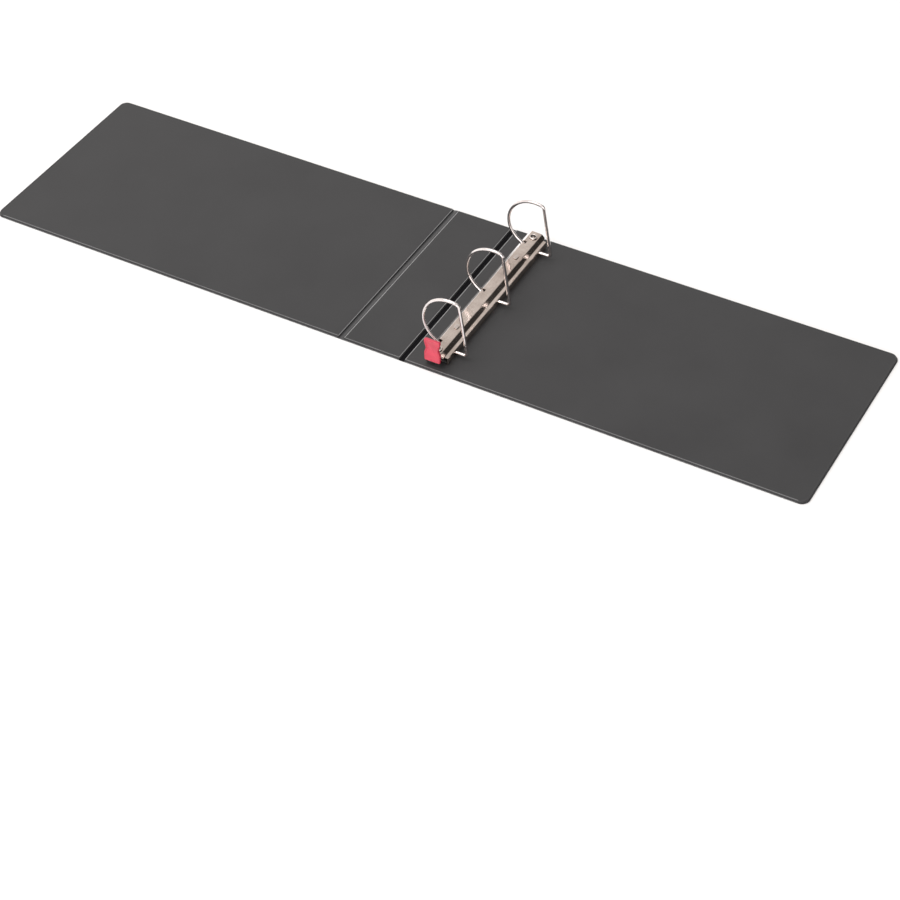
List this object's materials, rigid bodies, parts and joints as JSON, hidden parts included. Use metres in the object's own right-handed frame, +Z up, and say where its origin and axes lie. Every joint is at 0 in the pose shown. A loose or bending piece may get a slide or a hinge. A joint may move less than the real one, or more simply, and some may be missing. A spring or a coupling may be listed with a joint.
{
  "type": "ring binder",
  "caption": "Landscape ledger-size ring binder, open flat: black vinyl covers over board, and a plated slant D-ring mechanism with a red lever grip.",
  "frame": {"origin": "on the surface the open binder lies on, under the middle of the spine", "axes": "+Z up; +X from the front cover across the spine to the back cover; +Y to the far edge of the covers, away from the lever"},
  "size_m": [1.129, 0.288, 0.0866],
  "materials": {
    "vinyl": "fine-grained black vinyl sheet, satin",
    "chipboard": "raw grey board, hidden inside the covers",
    "nickel_plate": "bright nickel plating",
    "steel": "plain rolled steel",
    "red_plastic": "moulded plastic, half gloss"
  },
  "bodies": {
    "back_cover": {"back_outer_skin": "vinyl", "back_board": "chipboard", "back_inner_liner": "vinyl", "ring_housing": "nickel_plate", "guide_rivet_near": "nickel_plate", "guide_rivet_far": "nickel_plate", "mounting_rivet_near": "nickel_plate", "mounting_rivet_far": "nickel_plate", "rivet_cap_near": "nickel_plate", "rivet_cap_far": "nickel_plate", "lever_pin": "steel"},
    "back_web": {"back_hinge_web": "vinyl"},
    "spine": {"spine_outer_skin": "vinyl", "spine_board": "chipboard", "spine_inner_liner": "vinyl"},
    "front_web": {"front_hinge_web": "vinyl"},
    "front_cover": {"front_outer_skin": "vinyl", "front_board": "chipboard", "front_inner_liner": "vinyl"},
    "lever": {"lever": "steel", "lever_grip": "red_plastic"},
    "left_rings": {"left_hinge_plate": "steel", "ring_half_left_near": "nickel_plate", "ring_half_left_middle": "nickel_plate", "ring_half_left_far": "nickel_plate"},
    "right_rings": {"right_hinge_plate": "steel", "ring_half_right_near": "nickel_plate", "ring_half_right_middle": "nickel_plate", "ring_half_right_far": "nickel_plate"},
    "travel_bar": {"travel_bar": "steel"}
  },
  "joints": [
    {"name": "back_web_bend", "type": "hinge", "parent": "back_cover", "child": "back_web", "pos_m": [0.0451, 0, 0.0004], "axis": [0, 1, 0], "range_deg": [0, 75]},
    {"name": "spine_bend", "type": "hinge", "parent": "back_web", "child": "spine", "pos_m": [0.0399, 0, 0.0004], "axis": [0, 1, 0], "range_deg": [0, 15]},
    {"name": "front_web_bend", "type": "hinge", "parent": "spine", "child": "front_web", "pos_m": [-0.0399, 0, 0.0004], "axis": [0, 1, 0], "range_deg": [0, 15]},
    {"name": "front_cover_bend", "type": "hinge", "parent": "front_web", "child": "front_cover", "pos_m": [-0.0451, 0, 0.0004], "axis": [0, 1, 0], "range_deg": [0, 75]},
    {"name": "lever_turn", "type": "hinge", "parent": "back_cover", "child": "lever", "pos_m": [0.0811, -0.1295, 0.0095], "axis": [-1, 0, 0], "range_deg": [-42, 0]},
    {"name": "left_ring_swing", "type": "hinge", "parent": "back_cover", "child": "left_rings", "pos_m": [0.0714, 0, 0.0065], "axis": [0, 1, 0], "range_deg": [-10, 0]},
    {"name": "right_ring_swing", "type": "hinge", "parent": "back_cover", "child": "right_rings", "pos_m": [0.0951, 0, 0.0065], "axis": [0, -1, 0], "range_deg": [-10, 0]},
    {"name": "travel_bar_slide", "type": "slide", "parent": "back_cover", "child": "travel_bar", "axis": [0, 1, 0], "range_m": [-0.0047, 0]}
  ],
  "couplings": [
    {"joint": "left_ring_swing", "follows": "lever_turn", "ratio": 0.238},
    {"joint": "right_ring_swing", "follows": "lever_turn", "ratio": 0.238},
    {"joint": "travel_bar_slide", "follows": "lever_turn", "m_per_rad": 0.0064}
  ]
}
